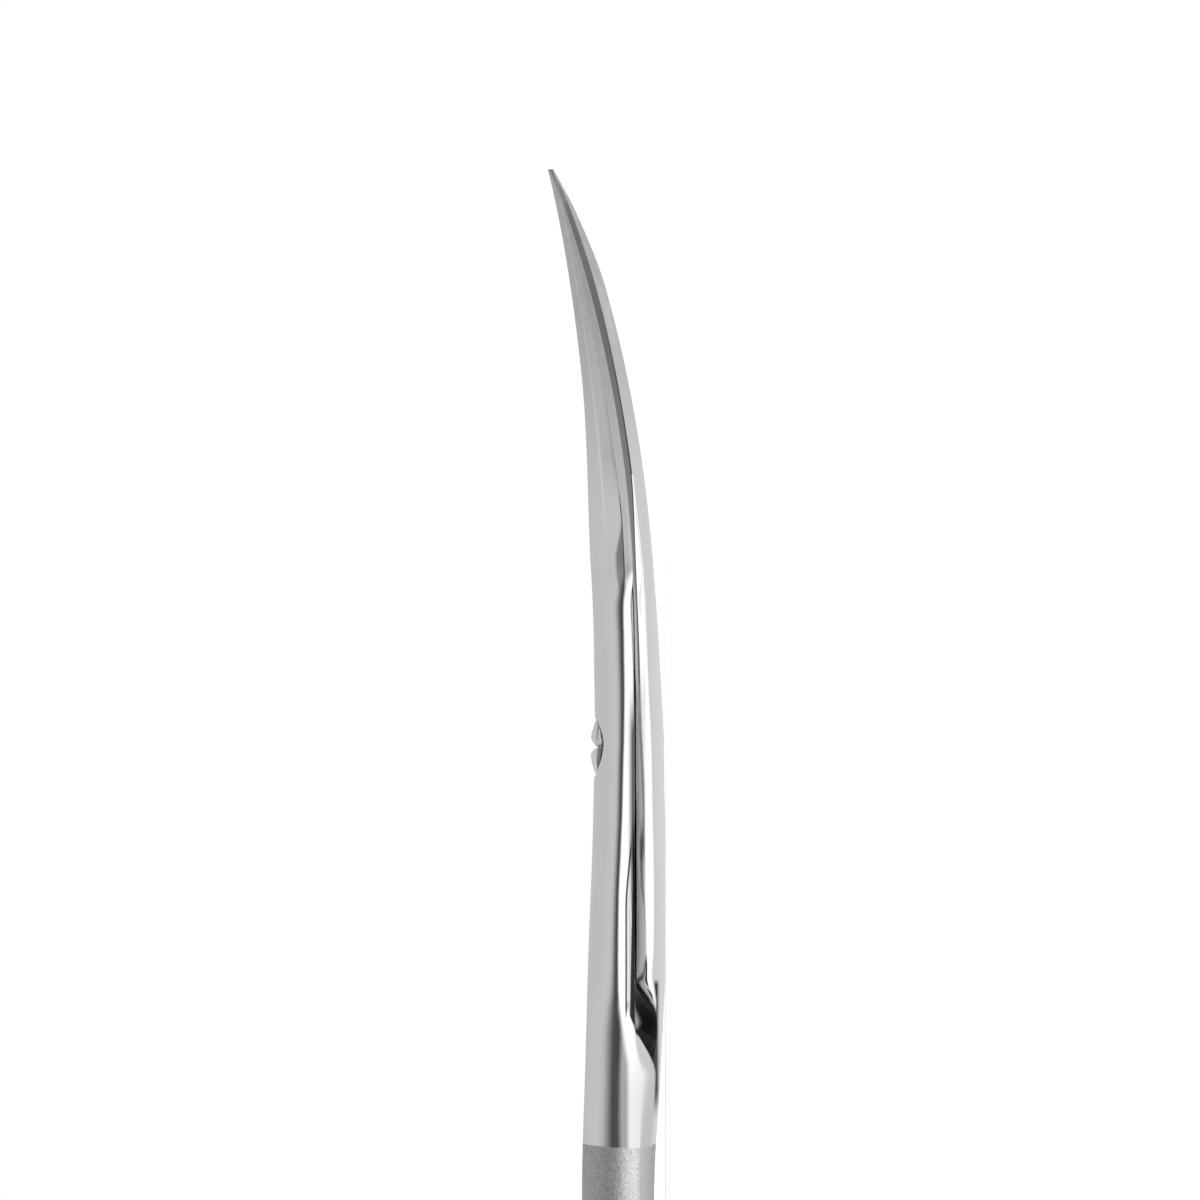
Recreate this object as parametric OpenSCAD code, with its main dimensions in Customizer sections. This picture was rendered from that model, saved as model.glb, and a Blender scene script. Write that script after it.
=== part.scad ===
// Cuticle scissors, closed and lying on their back: the tips point to +X and the screw is on top.
// The origin is where the pivot axis meets the surface that they lie on.
// Each half has its blade on one side of the centre line and its finger ring on the other.

/* [Blades] */
// Pivot axis to the tips
blade_reach = 28.9; // [27:0.1:31]
// Length of the cutting edges, back from the tips
edge_len = 20; // [18:0.5:21]
// Radius of the upward curve of the blades
curve_r = 70; // [60:1:100]
// Straight run from the pivot axis to the start of that curve
curve_start = 5; // [4:0.5:6]
// Width of each point at the very tip
tip_w = 0.24; // [0.16:0.02:0.4]
// Thickness of each point at the very tip
tip_t = 0.14; // [0.12:0.02:0.3]
// Width of one blade where its cutting edge ends
heel_w = 3.9; // [3.4:0.1:4.4]
// How far each cutting edge passes the centre line at that end
edge_overlap = 1.1; // [0.8:0.05:1.3]
// Thickness of the upper blade at that end
upper_heel_t = 2.08; // [1.7:0.01:2.2]
// Thickness of the upper blade halfway along its edge
upper_mid_t = 1.3; // [1.1:0.01:1.5]
// Thickness of the lower blade at that end
lower_heel_t = 1.06; // [0.95:0.01:1.15]
// Thickness of the lower blade near its tip
lower_fore_t = 0.9; // [0.8:0.01:1]
// Height of the steep bevel along each cutting edge, at its highest
edge_bevel = 0.36; // [0.2:0.01:0.42]
// Depth of the hollow grinding inside the blades
hollow = 0.12; // [0.05:0.01:0.2]

/* [Joint] */
// Thickness of the upper half at the pivot
upper_t = 1.98; // [1.8:0.01:2.1]
// Thickness of the lower half at the pivot
lower_t = 1.5; // [1.4:0.01:1.6]
// Width of the scissors at the pivot
joint_w = 7; // [6.6:0.1:7.6]
// Gap between the inner faces of the two halves
face_gap = 0.05; // [0.03:0.01:0.08]
// Pivot axis to where the lapped part ends and the full shank begins
lap_len = 13.2; // [12.4:0.1:14]
// Length of the curved shoulder behind it
shoulder_len = 3.4; // [3:0.1:4.5]
// Depth ground off the rounded back of the lower half, to leave the flat that it lies on
rest_cut = 0.06; // [0.04:0.01:0.1]

/* [Screw] */
// Diameter of the domed head
head_d = 2.92; // [2.7:0.02:3.1]
// Radius of the dome
dome_r = 3.4; // [2.6:0.1:5]
// How far the dome stands above the upper half
head_proud = 0.2; // [0.1:0.02:0.3]
// Height of the straight rim under the dome
rim_h = 0.3; // [0.2:0.02:0.4]
// Diameter of the smooth shoulder that the upper half turns on
shoulder_d = 2.1; // [1.9:0.05:2.3]
// Diameter of the end fixed in the lower half
stud_d = 1.8; // [1.5:0.05:1.85]
// Radial clearance of the upper half on the shoulder
bore_clear = 0.03; // [0.02:0.01:0.08]
// Radial clearance around the head
head_clear = 0.07; // [0.04:0.01:0.12]
// Width of the screwdriver slot
slot_w = 0.42; // [0.3:0.02:0.6]
// Depth of the screwdriver slot below the top of the dome
slot_depth = 0.42; // [0.3:0.02:0.5]

/* [Shanks] */
// Width of one shank behind the shoulder
shank_w = 4.3; // [3.8:0.1:4.6]
// Width of one shank where it meets its ring
shank_end_w = 3.7; // [3.3:0.1:4]
// Height of the shanks behind the shoulder
shank_h = 3.7; // [3.4:0.05:3.9]
// How far the shanks are lifted above the surface at their highest
shank_lift = 0.6; // [0.4:0.05:0.8]
// Sideways bow of the shanks, out from the centre line
shank_bow = 1.9; // [1.4:0.1:2.4]
// Gap between the closed shanks at the shoulder
shank_gap = 0.8; // [0.6:0.1:1.2]

/* [Finger rings] */
// Pivot axis to the far end of the rings
handle_reach = 66; // [62:0.5:70]
// Length of a ring's opening
ring_in_l = 25; // [23:0.5:27]
// Width of a ring's opening
ring_in_w = 18.5; // [17:0.5:20.5]
// Width of a ring's rod
rod_w = 3.1; // [2.8:0.1:3.5]
// Height of a ring's rod
rod_h = 3.2; // [2.8:0.1:3.5]
// Gap between the closed rings
ring_gap = 0.6; // [0.4:0.1:1]
// How much narrower a ring is at its front than at its back
egg = 0.12; // [0:0.02:0.2]

/* [Hidden] */

steel = [0.72, 0.73, 0.75];
bright = [0.82, 0.82, 0.83];

split_z = lower_t + face_gap / 2;
top_z = lower_t + face_gap + upper_t;
heel_x = blade_reach - edge_len;

ring_a = (ring_in_l + rod_w) / 2;
ring_b = (ring_in_w + rod_w) / 2;
ring_x = -handle_reach + rod_w / 2 + ring_a;
ring_y = -(ring_gap + rod_w) / 2 - ring_b;
ring_steps = 60;
rod_sides = 14;

// A shank ends inside the rod of its ring, this far in front of the ring's middle
end_x = ring_x + 0.42 * ring_a;
end_w = 0.66 * rod_w;
end_h = 0.7 * rod_h;

// Smooth curve through [x, value] pairs in rising x, with no overshoot between them
function seg(x, p, i = 0) = i >= len(p) - 2 || x < p[i + 1][0] ? i : seg(x, p, i + 1);
function slope(p, i) = (p[i + 1][1] - p[i][1]) / (p[i + 1][0] - p[i][0]);
function mean_slope(a, b) = a * b <= 0 ? 0 : 2 * a * b / (a + b);
function tangent(p, i) =
    i == 0 ? slope(p, 0)
    : i == len(p) - 1 ? slope(p, i - 1)
    : mean_slope(slope(p, i - 1), slope(p, i));
function along(p, x) =
    let (i = seg(x, p), w = p[i + 1][0] - p[i][0], t = min(1, max(0, (x - p[i][0]) / w)))
    p[i][1] * (1 + 2 * t) * pow(1 - t, 2) + tangent(p, i) * w * t * pow(1 - t, 2)
    + p[i + 1][1] * t * t * (3 - 2 * t) + tangent(p, i + 1) * w * t * t * (t - 1);
function ease(a, b, x) = let (t = min(1, max(0, (x - a) / (b - a)))) t * t * (3 - 2 * t);
function mix(a, b, t) = a * (1 - t) + b * t;

// Height of the meeting surface above its flat part: turned about the pivot axis, so the blades
// stay in step while they swing
function rise(x, s) =
    let (r = norm([x, s]) - curve_start)
    x < 0 || r < 0 ? 0 : curve_r - sqrt(pow(curve_r, 2) - r * r);

// Middle of a ring's rod on the side next to the centre line
function rod_y(x) =
    let (c = (x - ring_x) / ring_a) ring_y + ring_b * (1 - egg * c) * sqrt(1 - c * c);

// Plan outline of the upper half, back to front: the side with the cutting edge and the shank
edge_side = [
    [end_x, rod_y(end_x) - end_w / 2],
    [end_x + 4, rod_y(end_x) - shank_end_w / 2 - 0.45],
    [end_x + 10, -shank_bow - shank_end_w],
    [-24, -shank_gap / 2 - shank_w - 0.45],
    [-lap_len - shoulder_len, -shank_gap / 2 - shank_w],
    [-lap_len, -joint_w / 2 - 1],
    [-7, -joint_w / 2 - 0.45],
    [-2, -joint_w / 2 - 0.03],
    [1.5, -joint_w / 2 + 0.22],
    [4.4, mix(-edge_overlap, -joint_w / 2, 0.68)],
    [heel_x - 2.4, mix(-edge_overlap, -joint_w / 2, 0.4)],
    [heel_x - 0.6, -edge_overlap - 0.26],
    [heel_x + 0.6, -edge_overlap],
    [heel_x + 0.45 * edge_len, -0.68 * edge_overlap],
    [heel_x + 0.75 * edge_len, -0.4 * edge_overlap],
    [blade_reach, -tip_w / 2],
];

// The other side, with the spine of the blade and the end of the lapped part
spine_side = [
    [end_x, rod_y(end_x) + end_w / 2],
    [end_x + 4, rod_y(end_x) + shank_end_w / 2 - 0.45],
    [end_x + 10, -shank_bow],
    [-24, -shank_gap / 2 - 0.5],
    [-lap_len - shoulder_len, -shank_gap / 2],
    [-lap_len - 1, -0.4 * shank_gap],
    [-lap_len + 0.2, -0.12],
    [-lap_len + 1.3, 0.8],
    [-lap_len + 3, 2.1],
    [-lap_len + 6, joint_w / 2 - 0.35],
    [-3, joint_w / 2],
    [1.5, joint_w / 2 - 0.08],
    [heel_x - 2.4, mix(heel_w - edge_overlap, joint_w / 2, 0.5)],
    [heel_x, heel_w - edge_overlap],
    [heel_x + 0.5 * edge_len, 0.62 * (heel_w - edge_overlap)],
    [heel_x + 0.8 * edge_len, 0.32 * (heel_w - edge_overlap)],
    [blade_reach, tip_w / 2],
];

// Outer surface of each half above or below the meeting surface, in front of the pivot
upper_out = [
    [0, upper_t],
    [heel_x, upper_heel_t],
    [blade_reach - edge_len / 2, upper_mid_t],
    [blade_reach, tip_t],
];
lower_out = [
    [0, lower_t + rest_cut],
    [0.7, lower_t - 0.03],
    [1.5, lower_t - 0.08],
    [2.9, lower_t - 0.165],
    [heel_x, lower_heel_t],
    [blade_reach - 6, lower_fore_t],
    [blade_reach - 2.2, 0.6 * lower_fore_t],
    [blade_reach, tip_t],
];

// Top and bottom lines of the scissors behind the pivot, seen from the side
top_line = [
    [end_x, rod_h / 2 + end_h / 2],
    [end_x + 5, rod_h + 0.35],
    [-30, shank_lift + shank_h - 0.2],
    [-22, shank_lift + shank_h - 0.13],
    [-lap_len - shoulder_len, 0.25 + shank_h + 0.08],
    [-10, top_z + 0.31],
    [-5, top_z + 0.12],
    [0, top_z],
];
bottom_line = [
    [end_x, rod_h / 2 - end_h / 2],
    [end_x + 5, 0.32],
    [-30, shank_lift],
    [-22, shank_lift - 0.06],
    [-lap_len - shoulder_len, 0.24],
    [-lap_len + 1.6, 0],
    [-lap_len + 3.6, -rest_cut],
    [0, -rest_cut],
];

// Bevel on the inner edge, on the side of the cutting edge and shank, and on the spine's side
edge_side_bevel = [
    [-lap_len - 2.6, -0.12],
    [-lap_len - 1.2, -0.08],
    [-lap_len - 0.2, 0.2],
    [-lap_len + 0.8, 0.45],
    [-7.6, 0.43],
    [-5, 0.26],
    [-2.6, 0.11],
    [2.4, 0.06],
    [heel_x - 1.5, 0.16],
    [heel_x - 0.3, 0.06],
    [heel_x + 0.6, 0],
];
spine_side_bevel = [
    [-24, 0.45],
    [-lap_len - shoulder_len, 0.8],
    [-lap_len - 0.9, 1.15],
    [-lap_len + 0.5, 0.98],
    [-lap_len + 1.7, 0.56],
    [-3, 0.54],
    [3, 0.32],
    [heel_x - 1, 0.2],
    [heel_x + 1, 0.24],
    [heel_x + 4, 0.32],
    [blade_reach - 5, 0.31],
    [blade_reach, 0.12],
];

// Height of the steep bevel along the cutting edge, as a share of its highest
edge_bevel_share = [
    [heel_x, 1.15],
    [heel_x + 1.6, 1.05],
    [heel_x + 4, 0.95],
    [heel_x + 8, 1],
    [heel_x + 12, 0.8],
    [blade_reach - 4.5, 0.33],
    [blade_reach - 2, 0.1],
    [blade_reach, 0.03],
];

// Facet above that bevel, where the grinding of the blade runs out at the heel
run_out = [
    [heel_x - 1.5, 0.1],
    [heel_x - 0.9, 0.28],
    [heel_x - 0.2, 0.54],
    [heel_x + 0.5, 0.54],
    [heel_x + 1.3, 0.34],
    [heel_x + 2.1, 0.1],
    [heel_x + 3, 0.02],
];

// Steep side above the spine's corner
corner_rise = [
    [heel_x - 2, 0.5],
    [heel_x + 1, 0.27],
    [heel_x + 4, 0.08],
    [heel_x + 7, 0.02],
    [blade_reach, 0.01],
];

// Behind the lapped part its inner face is scooped away towards the outside
function scoop(x) = ease(-lap_len + 1.8, -lap_len - 0.9, x);

// The upper half's shank stops this much higher at the bottom than the lower half's
shank_trim = 0.2;

// Where the full shank takes over from the lapped part
function shank_share(x) = ease(-lap_len - 0.4, -lap_len - shoulder_len + 0.2, x);

// The two powers of the rounded back: it is flatter in the joint and more like a roof in the shanks
across_power = [
    [-lap_len - 2.8, 1],
    [-lap_len + 0.6, 1.02],
    [-7.6, 1.3],
    [-2.6, 1.06],
    [2.4, 1.06],
    [heel_x - 0.9, 1.2],
];
height_power = [
    [-lap_len - 6.8, 1.87],
    [-lap_len - 4.1, 1.97],
    [-lap_len - 1.8, 1.83],
    [-lap_len, 1.75],
    [-lap_len + 0.6, 1.77],
    [-lap_len + 1.2, 1.96],
    [-lap_len + 1.8, 2.08],
    [-lap_len + 3, 2.16],
    [-7.6, 2.2],
    [-2.6, 2.49],
    [2.4, 2.34],
    [5, 2.2],
    [heel_x - 0.9, 1.9],
];

// Distance from the crown as a share of the half width, with the crown rounded over
function soft_abs(u, e) = (sqrt(u * u + e * e) - e) / (sqrt(1 + e * e) - e);
function rounded(u, e, across, high) = pow(max(0, 1 - pow(soft_abs(u, e), across)), 1 / high);
crown_round = 0.1;
function dome(u, x) = rounded(u, crown_round, along(across_power, x), along(height_power, x));

// The shanks' inner side is rounded in the same way
belly_round = 0.3;
belly_across_power = 1.3;
belly_height_power = 1.5;
function belly(u) = rounded(u, belly_round, belly_across_power, belly_height_power);

outer_steps = 12;
inner_steps = 10;
upper_crown_u = 0.5;
lower_crown_u = 0.1;
ridge_u = -0.36;
ridge_share = 0.6;
bevel_slope = 0.44;
run_out_slope = 0.74;

// Blade section from the cutting edge to the spine: steep bevel, run-out facet, ground face up to
// a ridge, rounded crown and a shallow back down to the spine's corner
function blade_point(x, i, half, out, low, crown_u) =
    let (
        bevel = min(edge_bevel * along(edge_bevel_share, x), 0.3 * out),
        bevel_u = -1 + min(bevel_slope * bevel / half, 0.3),
        facet = max(along(run_out, x), 0.03 * out),
        facet_u = bevel_u + run_out_slope * facet / half,
        ridge = ridge_share * out,
        corner = min(low + along(corner_rise, x), 0.8 * out),
        face = [0.5, 1][i - 3],
        rising = [0.4, 0.72, 1][i - 5],
        falling = [0.28, 0.55, 0.8, 1][i - 8]
    )
    i == 0 ? [-1, 0]
    : i == 1 ? [bevel_u, bevel]
    : i == 2 ? [facet_u, bevel + facet]
    : i <= 4 ? [mix(facet_u, ridge_u, face), mix(bevel + facet, ridge, face)]
    : i <= 7 ? [mix(ridge_u, crown_u, rising), mix(out, ridge, pow(1 - rising, 1.5))]
    : i < outer_steps ? [mix(crown_u, 0.985, falling), mix(out, corner, pow(falling, 1.4))]
    : [1, low];

function bladeness(x) = ease(heel_x - 1.9, heel_x + 0.2, x);

// One outer point: across and up, both in millimetres
function outer_point(x, i, out, crown_u) =
    let (
        a = along(edge_side, x),
        b = along(spine_side, x),
        half = (b - a) / 2,
        share = i / outer_steps,
        low = min(mix(along(edge_side_bevel, x), along(spine_side_bevel, x), share), 0.9 * out),
        u = cos(180 - 180 * share),
        blade = blade_point(x, i, half, out, min(low, 0.6 * out), crown_u),
        k = bladeness(x)
    )
    [
        (a + b) / 2 + half * mix(u, blade[0], k),
        mix(low + (out - low) * dome(u, x), blade[1], k),
    ];

// One inner point: flat in the lapped part, hollow in the blade, round in the shank
function inner_point(x, i, out, deep) =
    let (
        a = along(edge_side, x),
        b = along(spine_side, x),
        half = (b - a) / 2,
        low_a = min(along(edge_side_bevel, x), 0.6 * out),
        low_b = min(along(spine_side_bevel, x), 0.9 * out),
        t = i / inner_steps,
        run_b = mix(0.84, 0.74, ease(-2, heel_x - 1, x)) * low_b,
        run_a = mix(1, 1.5, ease(-2, -6, x)) * low_a,
        flat_s = mix(b - min(run_b, 0.3 * half), a + max(0.02, min(run_a, 0.3 * half)), t),
        round_u = cos(180 * (i + 1) / (inner_steps + 2)),
        shank = shank_share(x),
        scooped = low_b * scoop(x) * (1 - ease(0.1, 0.6, t)),
        hollowed = hollow * bladeness(x) * sin(180 * t) * min(1, half),
        flat_h = scooped + hollowed,
        round_h = mix(mix(low_b, low_a, t), -deep, belly(round_u))
    )
    [mix(flat_s, (a + b) / 2 + half * round_u, shank), mix(flat_h, round_h, shank)];

// Sections lie closest together where the shape turns fastest
function spread(a, b, n) = [for (i = [0:n - 1]) a + (b - a) * i / n];
stations = concat(
    spread(end_x, -24, 9),
    spread(-24, -lap_len - shoulder_len - 0.5, 6),
    spread(-lap_len - shoulder_len - 0.5, -lap_len + 3, 20),
    spread(-lap_len + 3, 0, 9),
    spread(0, heel_x - 2.4, 8),
    spread(heel_x - 2.4, heel_x + 2.2, 18),
    spread(heel_x + 2.2, blade_reach - 3, 20),
    spread(blade_reach - 3, blade_reach, 7),
    [blade_reach]
);

function ring_points(side) = [
    for (x = stations)
        let (
            up = side > 0,
            face = split_z + side * face_gap / 2,
            top = along(top_line, x) - face,
            bottom = face - along(bottom_line, x),
            front = along(up ? upper_out : lower_out, x),
            out = x > 0 ? front : up ? top : bottom,
            deep = up ? bottom - shank_trim : top,
            crown_u = up ? upper_crown_u : lower_crown_u,
            outline = concat(
                [for (i = [0:outer_steps]) outer_point(x, i, out, crown_u)],
                [for (i = [0:inner_steps]) inner_point(x, i, out, deep)]
            )
        )
        [
            for (p = outline)
                [x, side * p[0], face + rise(x, p[0]) + side * p[1]]
        ]
];

// Skin over a list of equal sections, closed at both ends, or joined end to start
module skin(sections, loop = false) {
    n = len(sections[0]);
    last = len(sections) - (loop ? 1 : 2);
    points = [for (s = sections) for (p = s) p];
    sides = [
        for (i = [0:last], j = [0:n - 1])
            let (
                k = (i + 1) % len(sections),
                a = i * n + j,
                b = i * n + (j + 1) % n,
                c = k * n + (j + 1) % n,
                d = k * n + j
            )
            each [[a, b, c], [a, c, d]]
    ];
    ends = loop ? [] : [
        [for (j = [n - 1:-1:0]) j],
        [for (j = [0:n - 1]) (len(sections) - 1) * n + j]
    ];
    polyhedron(points = points, faces = concat(sides, ends));
}

module finger_ring(side) {
    loop_points = [
        for (i = [0:ring_steps - 1])
            let (
                t = 360 * i / ring_steps,
                middle = [ring_x + ring_a * cos(t), ring_y + ring_b * (1 - egg * cos(t)) * sin(t)],
                out = [ring_b * cos(t), ring_a * sin(t)] / norm([ring_b * cos(t), ring_a * sin(t)])
            )
            [
                for (j = [0:rod_sides - 1])
                    let (v = 360 * j / rod_sides, q = middle + out * rod_w / 2 * cos(v))
                    [q[0], side * q[1], rod_h / 2 + side * rod_h / 2 * sin(v)]
            ]
    ];
    skin(loop_points, loop = true);
}

module half(side) {
    skin(ring_points(side));
    finger_ring(side);
}

seat_z = top_z + head_proud - (dome_r - sqrt(dome_r * dome_r - head_d * head_d / 4)) - rim_h;

module upper_half() {
    color(steel)
        difference() {
            half(1);
            translate([0, 0, -1])
                cylinder(r = shoulder_d / 2 + bore_clear, h = top_z + 2, $fn = 64);
            translate([0, 0, seat_z - face_gap])
                cylinder(r = head_d / 2 + head_clear, h = top_z, $fn = 64);
        }
}

module lower_half() {
    color(steel)
        difference() {
            half(-1);
            translate([-lap_len, -joint_w / 2, -2])
                cube([lap_len + heel_x, joint_w, 2]);
            translate([0, 0, -1])
                cylinder(r = stud_d / 2, h = top_z, $fn = 64);
        }
}

module pivot_screw() {
    top = top_z + head_proud;
    color(bright)
        difference() {
            union() {
                cylinder(r = stud_d / 2, h = lower_t, $fn = 64);
                translate([0, 0, lower_t])
                    cylinder(r = shoulder_d / 2, h = seat_z - lower_t, $fn = 64);
                intersection() {
                    translate([0, 0, seat_z])
                        cylinder(r = head_d / 2, h = top - seat_z + 1, $fn = 64);
                    translate([0, 0, top - dome_r])
                        sphere(r = dome_r, $fn = 96);
                }
            }
            translate([0, head_d, top])
                rotate([90, 0, 0])
                    linear_extrude(height = 2 * head_d)
                        polygon([
                            [-0.7 * slot_w, 0.2],
                            [-0.7 * slot_w, -0.02],
                            [-0.5 * slot_w, -0.35 * slot_depth],
                            [-0.32 * slot_w, -slot_depth],
                            [0.32 * slot_w, -slot_depth],
                            [0.5 * slot_w, -0.35 * slot_depth],
                            [0.7 * slot_w, -0.02],
                            [0.7 * slot_w, 0.2],
                        ]);
        }
}

upper_half();
lower_half();
pivot_screw();
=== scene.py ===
import bpy
import math
import numpy as np
from mathutils import Matrix, Vector
from mathutils.bvhtree import BVHTree


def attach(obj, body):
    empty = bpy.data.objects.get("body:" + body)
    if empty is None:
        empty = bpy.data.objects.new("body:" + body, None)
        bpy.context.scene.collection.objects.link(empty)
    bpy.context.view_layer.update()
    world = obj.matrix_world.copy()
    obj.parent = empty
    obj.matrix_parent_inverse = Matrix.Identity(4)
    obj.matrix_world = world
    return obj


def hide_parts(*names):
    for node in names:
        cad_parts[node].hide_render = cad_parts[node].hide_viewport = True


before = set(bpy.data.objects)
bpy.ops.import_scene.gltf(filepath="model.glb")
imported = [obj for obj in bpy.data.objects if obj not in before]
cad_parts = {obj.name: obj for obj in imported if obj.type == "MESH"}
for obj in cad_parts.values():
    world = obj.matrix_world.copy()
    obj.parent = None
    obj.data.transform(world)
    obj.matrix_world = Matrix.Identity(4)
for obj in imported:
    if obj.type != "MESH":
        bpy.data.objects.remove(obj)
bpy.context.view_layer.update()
mm = 0.001

# Sizes of the scissors in millimetres, the same as the solid model's
size = {
    "bladeReach": 28.9,
    "edgeLen": 20.0,
    "curveRadius": 70.0,
    "curveStart": 5.0,
    "tipWidth": 0.24,
    "tipThick": 0.14,
    "heelWidth": 3.9,
    "edgeOverlap": 1.1,
    "upperHeelThick": 2.08,
    "upperMidThick": 1.3,
    "lowerHeelThick": 1.06,
    "lowerForeThick": 0.9,
    "hollow": 0.12,
    "upperThick": 1.98,
    "lowerThick": 1.5,
    "jointWidth": 7.0,
    "faceGap": 0.05,
    "seenGap": 0.002,    # what shows as open between the halves
    "lapLen": 13.2,
    "shoulderLen": 3.4,
    "restCut": 0.06,     # the lower half's back goes so far below the floor and is cut flat there
    "shankWidth": 4.3,
    "shankEndWidth": 3.7,
    "shankHeight": 3.7,
    "shankLift": 0.6,
    "shankBow": 1.9,
    "shankGap": 0.8,
    "shankTrim": 0.2,
    "handleReach": 66.0,
    "ringInLen": 25.0,
    "ringInWidth": 18.5,
    "rodWidth": 3.1,
    "rodHeight": 3.2,
    "ringGap": 0.6,
    "endAlong": 0.42,    # the shank's end: shares of the ring's half length, and of the rod
    "endWide": 0.66,
    "endHigh": 0.7,
    "egg": 0.12,         # so much wider is the ring at its rear
}
# The plane between the halves, the joint's top, the start of the cutting edge, and the two ends of
# the shoulder behind the lapped joint
splitZ = size["lowerThick"] + size["faceGap"] / 2
topZ = size["lowerThick"] + size["faceGap"] + size["upperThick"]
heelX = size["bladeReach"] - size["edgeLen"]
lapX = -size["lapLen"]
shoulderX = lapX - size["shoulderLen"]
# The ring's rod: half its length and width, and its middle. The shank's end is sunk in the rod.
ringA = (size["ringInLen"] + size["rodWidth"]) / 2
ringB = (size["ringInWidth"] + size["rodWidth"]) / 2
ringX = -size["handleReach"] + size["rodWidth"] / 2 + ringA
ringY = -(size["ringGap"] + size["rodWidth"]) / 2 - ringB
endX = ringX + size["endAlong"] * ringA
endW = size["endWide"] * size["rodWidth"]
endH = size["endHigh"] * size["rodHeight"]


def mix(a, b, t):
    return a * (1 - t) + b * t


def ease(a, b, x):
    t = min(1.0, max(0.0, (x - a) / (b - a)))
    return t * t * (3 - 2 * t)


def curveOf(points):
    # smooth curve through (x, value) pairs with no overshoot between them
    xs = [p[0] for p in points]
    vs = [p[1] for p in points]
    slopes = [(vs[i + 1] - vs[i]) / (xs[i + 1] - xs[i]) for i in range(len(xs) - 1)]
    tangents = [slopes[0]]
    for a, b in zip(slopes, slopes[1:]):
        tangents.append(0.0 if a * b <= 0 else 2 * a * b / (a + b))
    tangents.append(slopes[-1])

    def value(x):
        i = 0
        while i < len(xs) - 2 and x >= xs[i + 1]:
            i += 1
        w = xs[i + 1] - xs[i]
        t = min(1.0, max(0.0, (x - xs[i]) / w))
        return (
            vs[i] * (1 + 2 * t) * (1 - t) ** 2
            + tangents[i] * w * t * (1 - t) ** 2
            + vs[i + 1] * t * t * (3 - 2 * t)
            + tangents[i + 1] * w * t * t * (t - 1)
        )

    return value


def rodY(x):
    # middle of the ring's rod where the shank runs into it
    c = (x - ringX) / ringA
    return ringY + ringB * (1 - size["egg"] * c) * math.sqrt(1 - c * c)


def rise(x, s):
    # in front of the pivot everything bends upwards on one round curve
    r = math.hypot(x, s) - size["curveStart"]
    if x < 0 or r < 0:
        return 0.0
    return size["curveRadius"] - math.sqrt(size["curveRadius"] ** 2 - r * r)


# Tables of (place along X, value) in millimetres. Seen from above, each half runs from its cutting
# edge's side to its spine's side.
halfJoint = size["jointWidth"] / 2
edgeSide = curveOf([
    (endX, rodY(endX) - endW / 2),
    (endX + 4, rodY(endX) - size["shankEndWidth"] / 2 - 0.45),
    (endX + 10, -size["shankBow"] - size["shankEndWidth"]),
    (-24, -size["shankGap"] / 2 - size["shankWidth"] - 0.45),
    (shoulderX, -size["shankGap"] / 2 - size["shankWidth"]),
    (lapX, -halfJoint - 1),
    (-7, -halfJoint - 0.45),
    (-2, -halfJoint - 0.03),
    (1.5, -halfJoint + 0.22),
    (4.4, mix(-size["edgeOverlap"], -halfJoint, 0.68)),
    (heelX - 2.4, mix(-size["edgeOverlap"], -halfJoint, 0.4)),
    (heelX - 0.6, -size["edgeOverlap"] - 0.26),
    (heelX + 0.6, -size["edgeOverlap"]),
    (heelX + 0.45 * size["edgeLen"], -0.68 * size["edgeOverlap"]),
    (heelX + 0.75 * size["edgeLen"], -0.4 * size["edgeOverlap"]),
    (size["bladeReach"], -size["tipWidth"] / 2),
])
spineSide = curveOf([
    (endX, rodY(endX) + endW / 2),
    (endX + 4, rodY(endX) + size["shankEndWidth"] / 2 - 0.45),
    (endX + 10, -size["shankBow"]),
    (-24, -size["shankGap"] / 2 - 0.5),
    (shoulderX, -size["shankGap"] / 2),
    (lapX - 1, -0.4 * size["shankGap"]),
    (lapX + 0.2, -0.12),
    (lapX + 1.3, 0.8),
    (lapX + 3, 2.1),
    (lapX + 6, halfJoint - 0.35),
    (-3, halfJoint),
    (1.5, halfJoint - 0.08),
    (heelX - 2.4, mix(size["heelWidth"] - size["edgeOverlap"], halfJoint, 0.5)),
    (heelX, size["heelWidth"] - size["edgeOverlap"]),
    (heelX + 0.5 * size["edgeLen"], 0.62 * (size["heelWidth"] - size["edgeOverlap"])),
    (heelX + 0.8 * size["edgeLen"], 0.32 * (size["heelWidth"] - size["edgeOverlap"])),
    (size["bladeReach"], size["tipWidth"] / 2),
])
# Height of the two outer faces above the plane between the halves, in front of the pivot
upperOut = curveOf([
    (0, size["upperThick"]),
    (heelX, size["upperHeelThick"]),
    (size["bladeReach"] - size["edgeLen"] / 2, size["upperMidThick"]),
    (size["bladeReach"], size["tipThick"]),
])
lowerOut = curveOf([
    (0, size["lowerThick"] - 0.04),
    (0.7, size["lowerThick"] - 0.05),
    (1.5, size["lowerThick"] - 0.08),
    (2.9, size["lowerThick"] - 0.165),
    (heelX, size["lowerHeelThick"]),
    (size["bladeReach"] - 6, size["lowerForeThick"]),
    (size["bladeReach"] - 2.2, 0.6 * size["lowerForeThick"]),
    (size["bladeReach"], size["tipThick"]),
])
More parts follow.
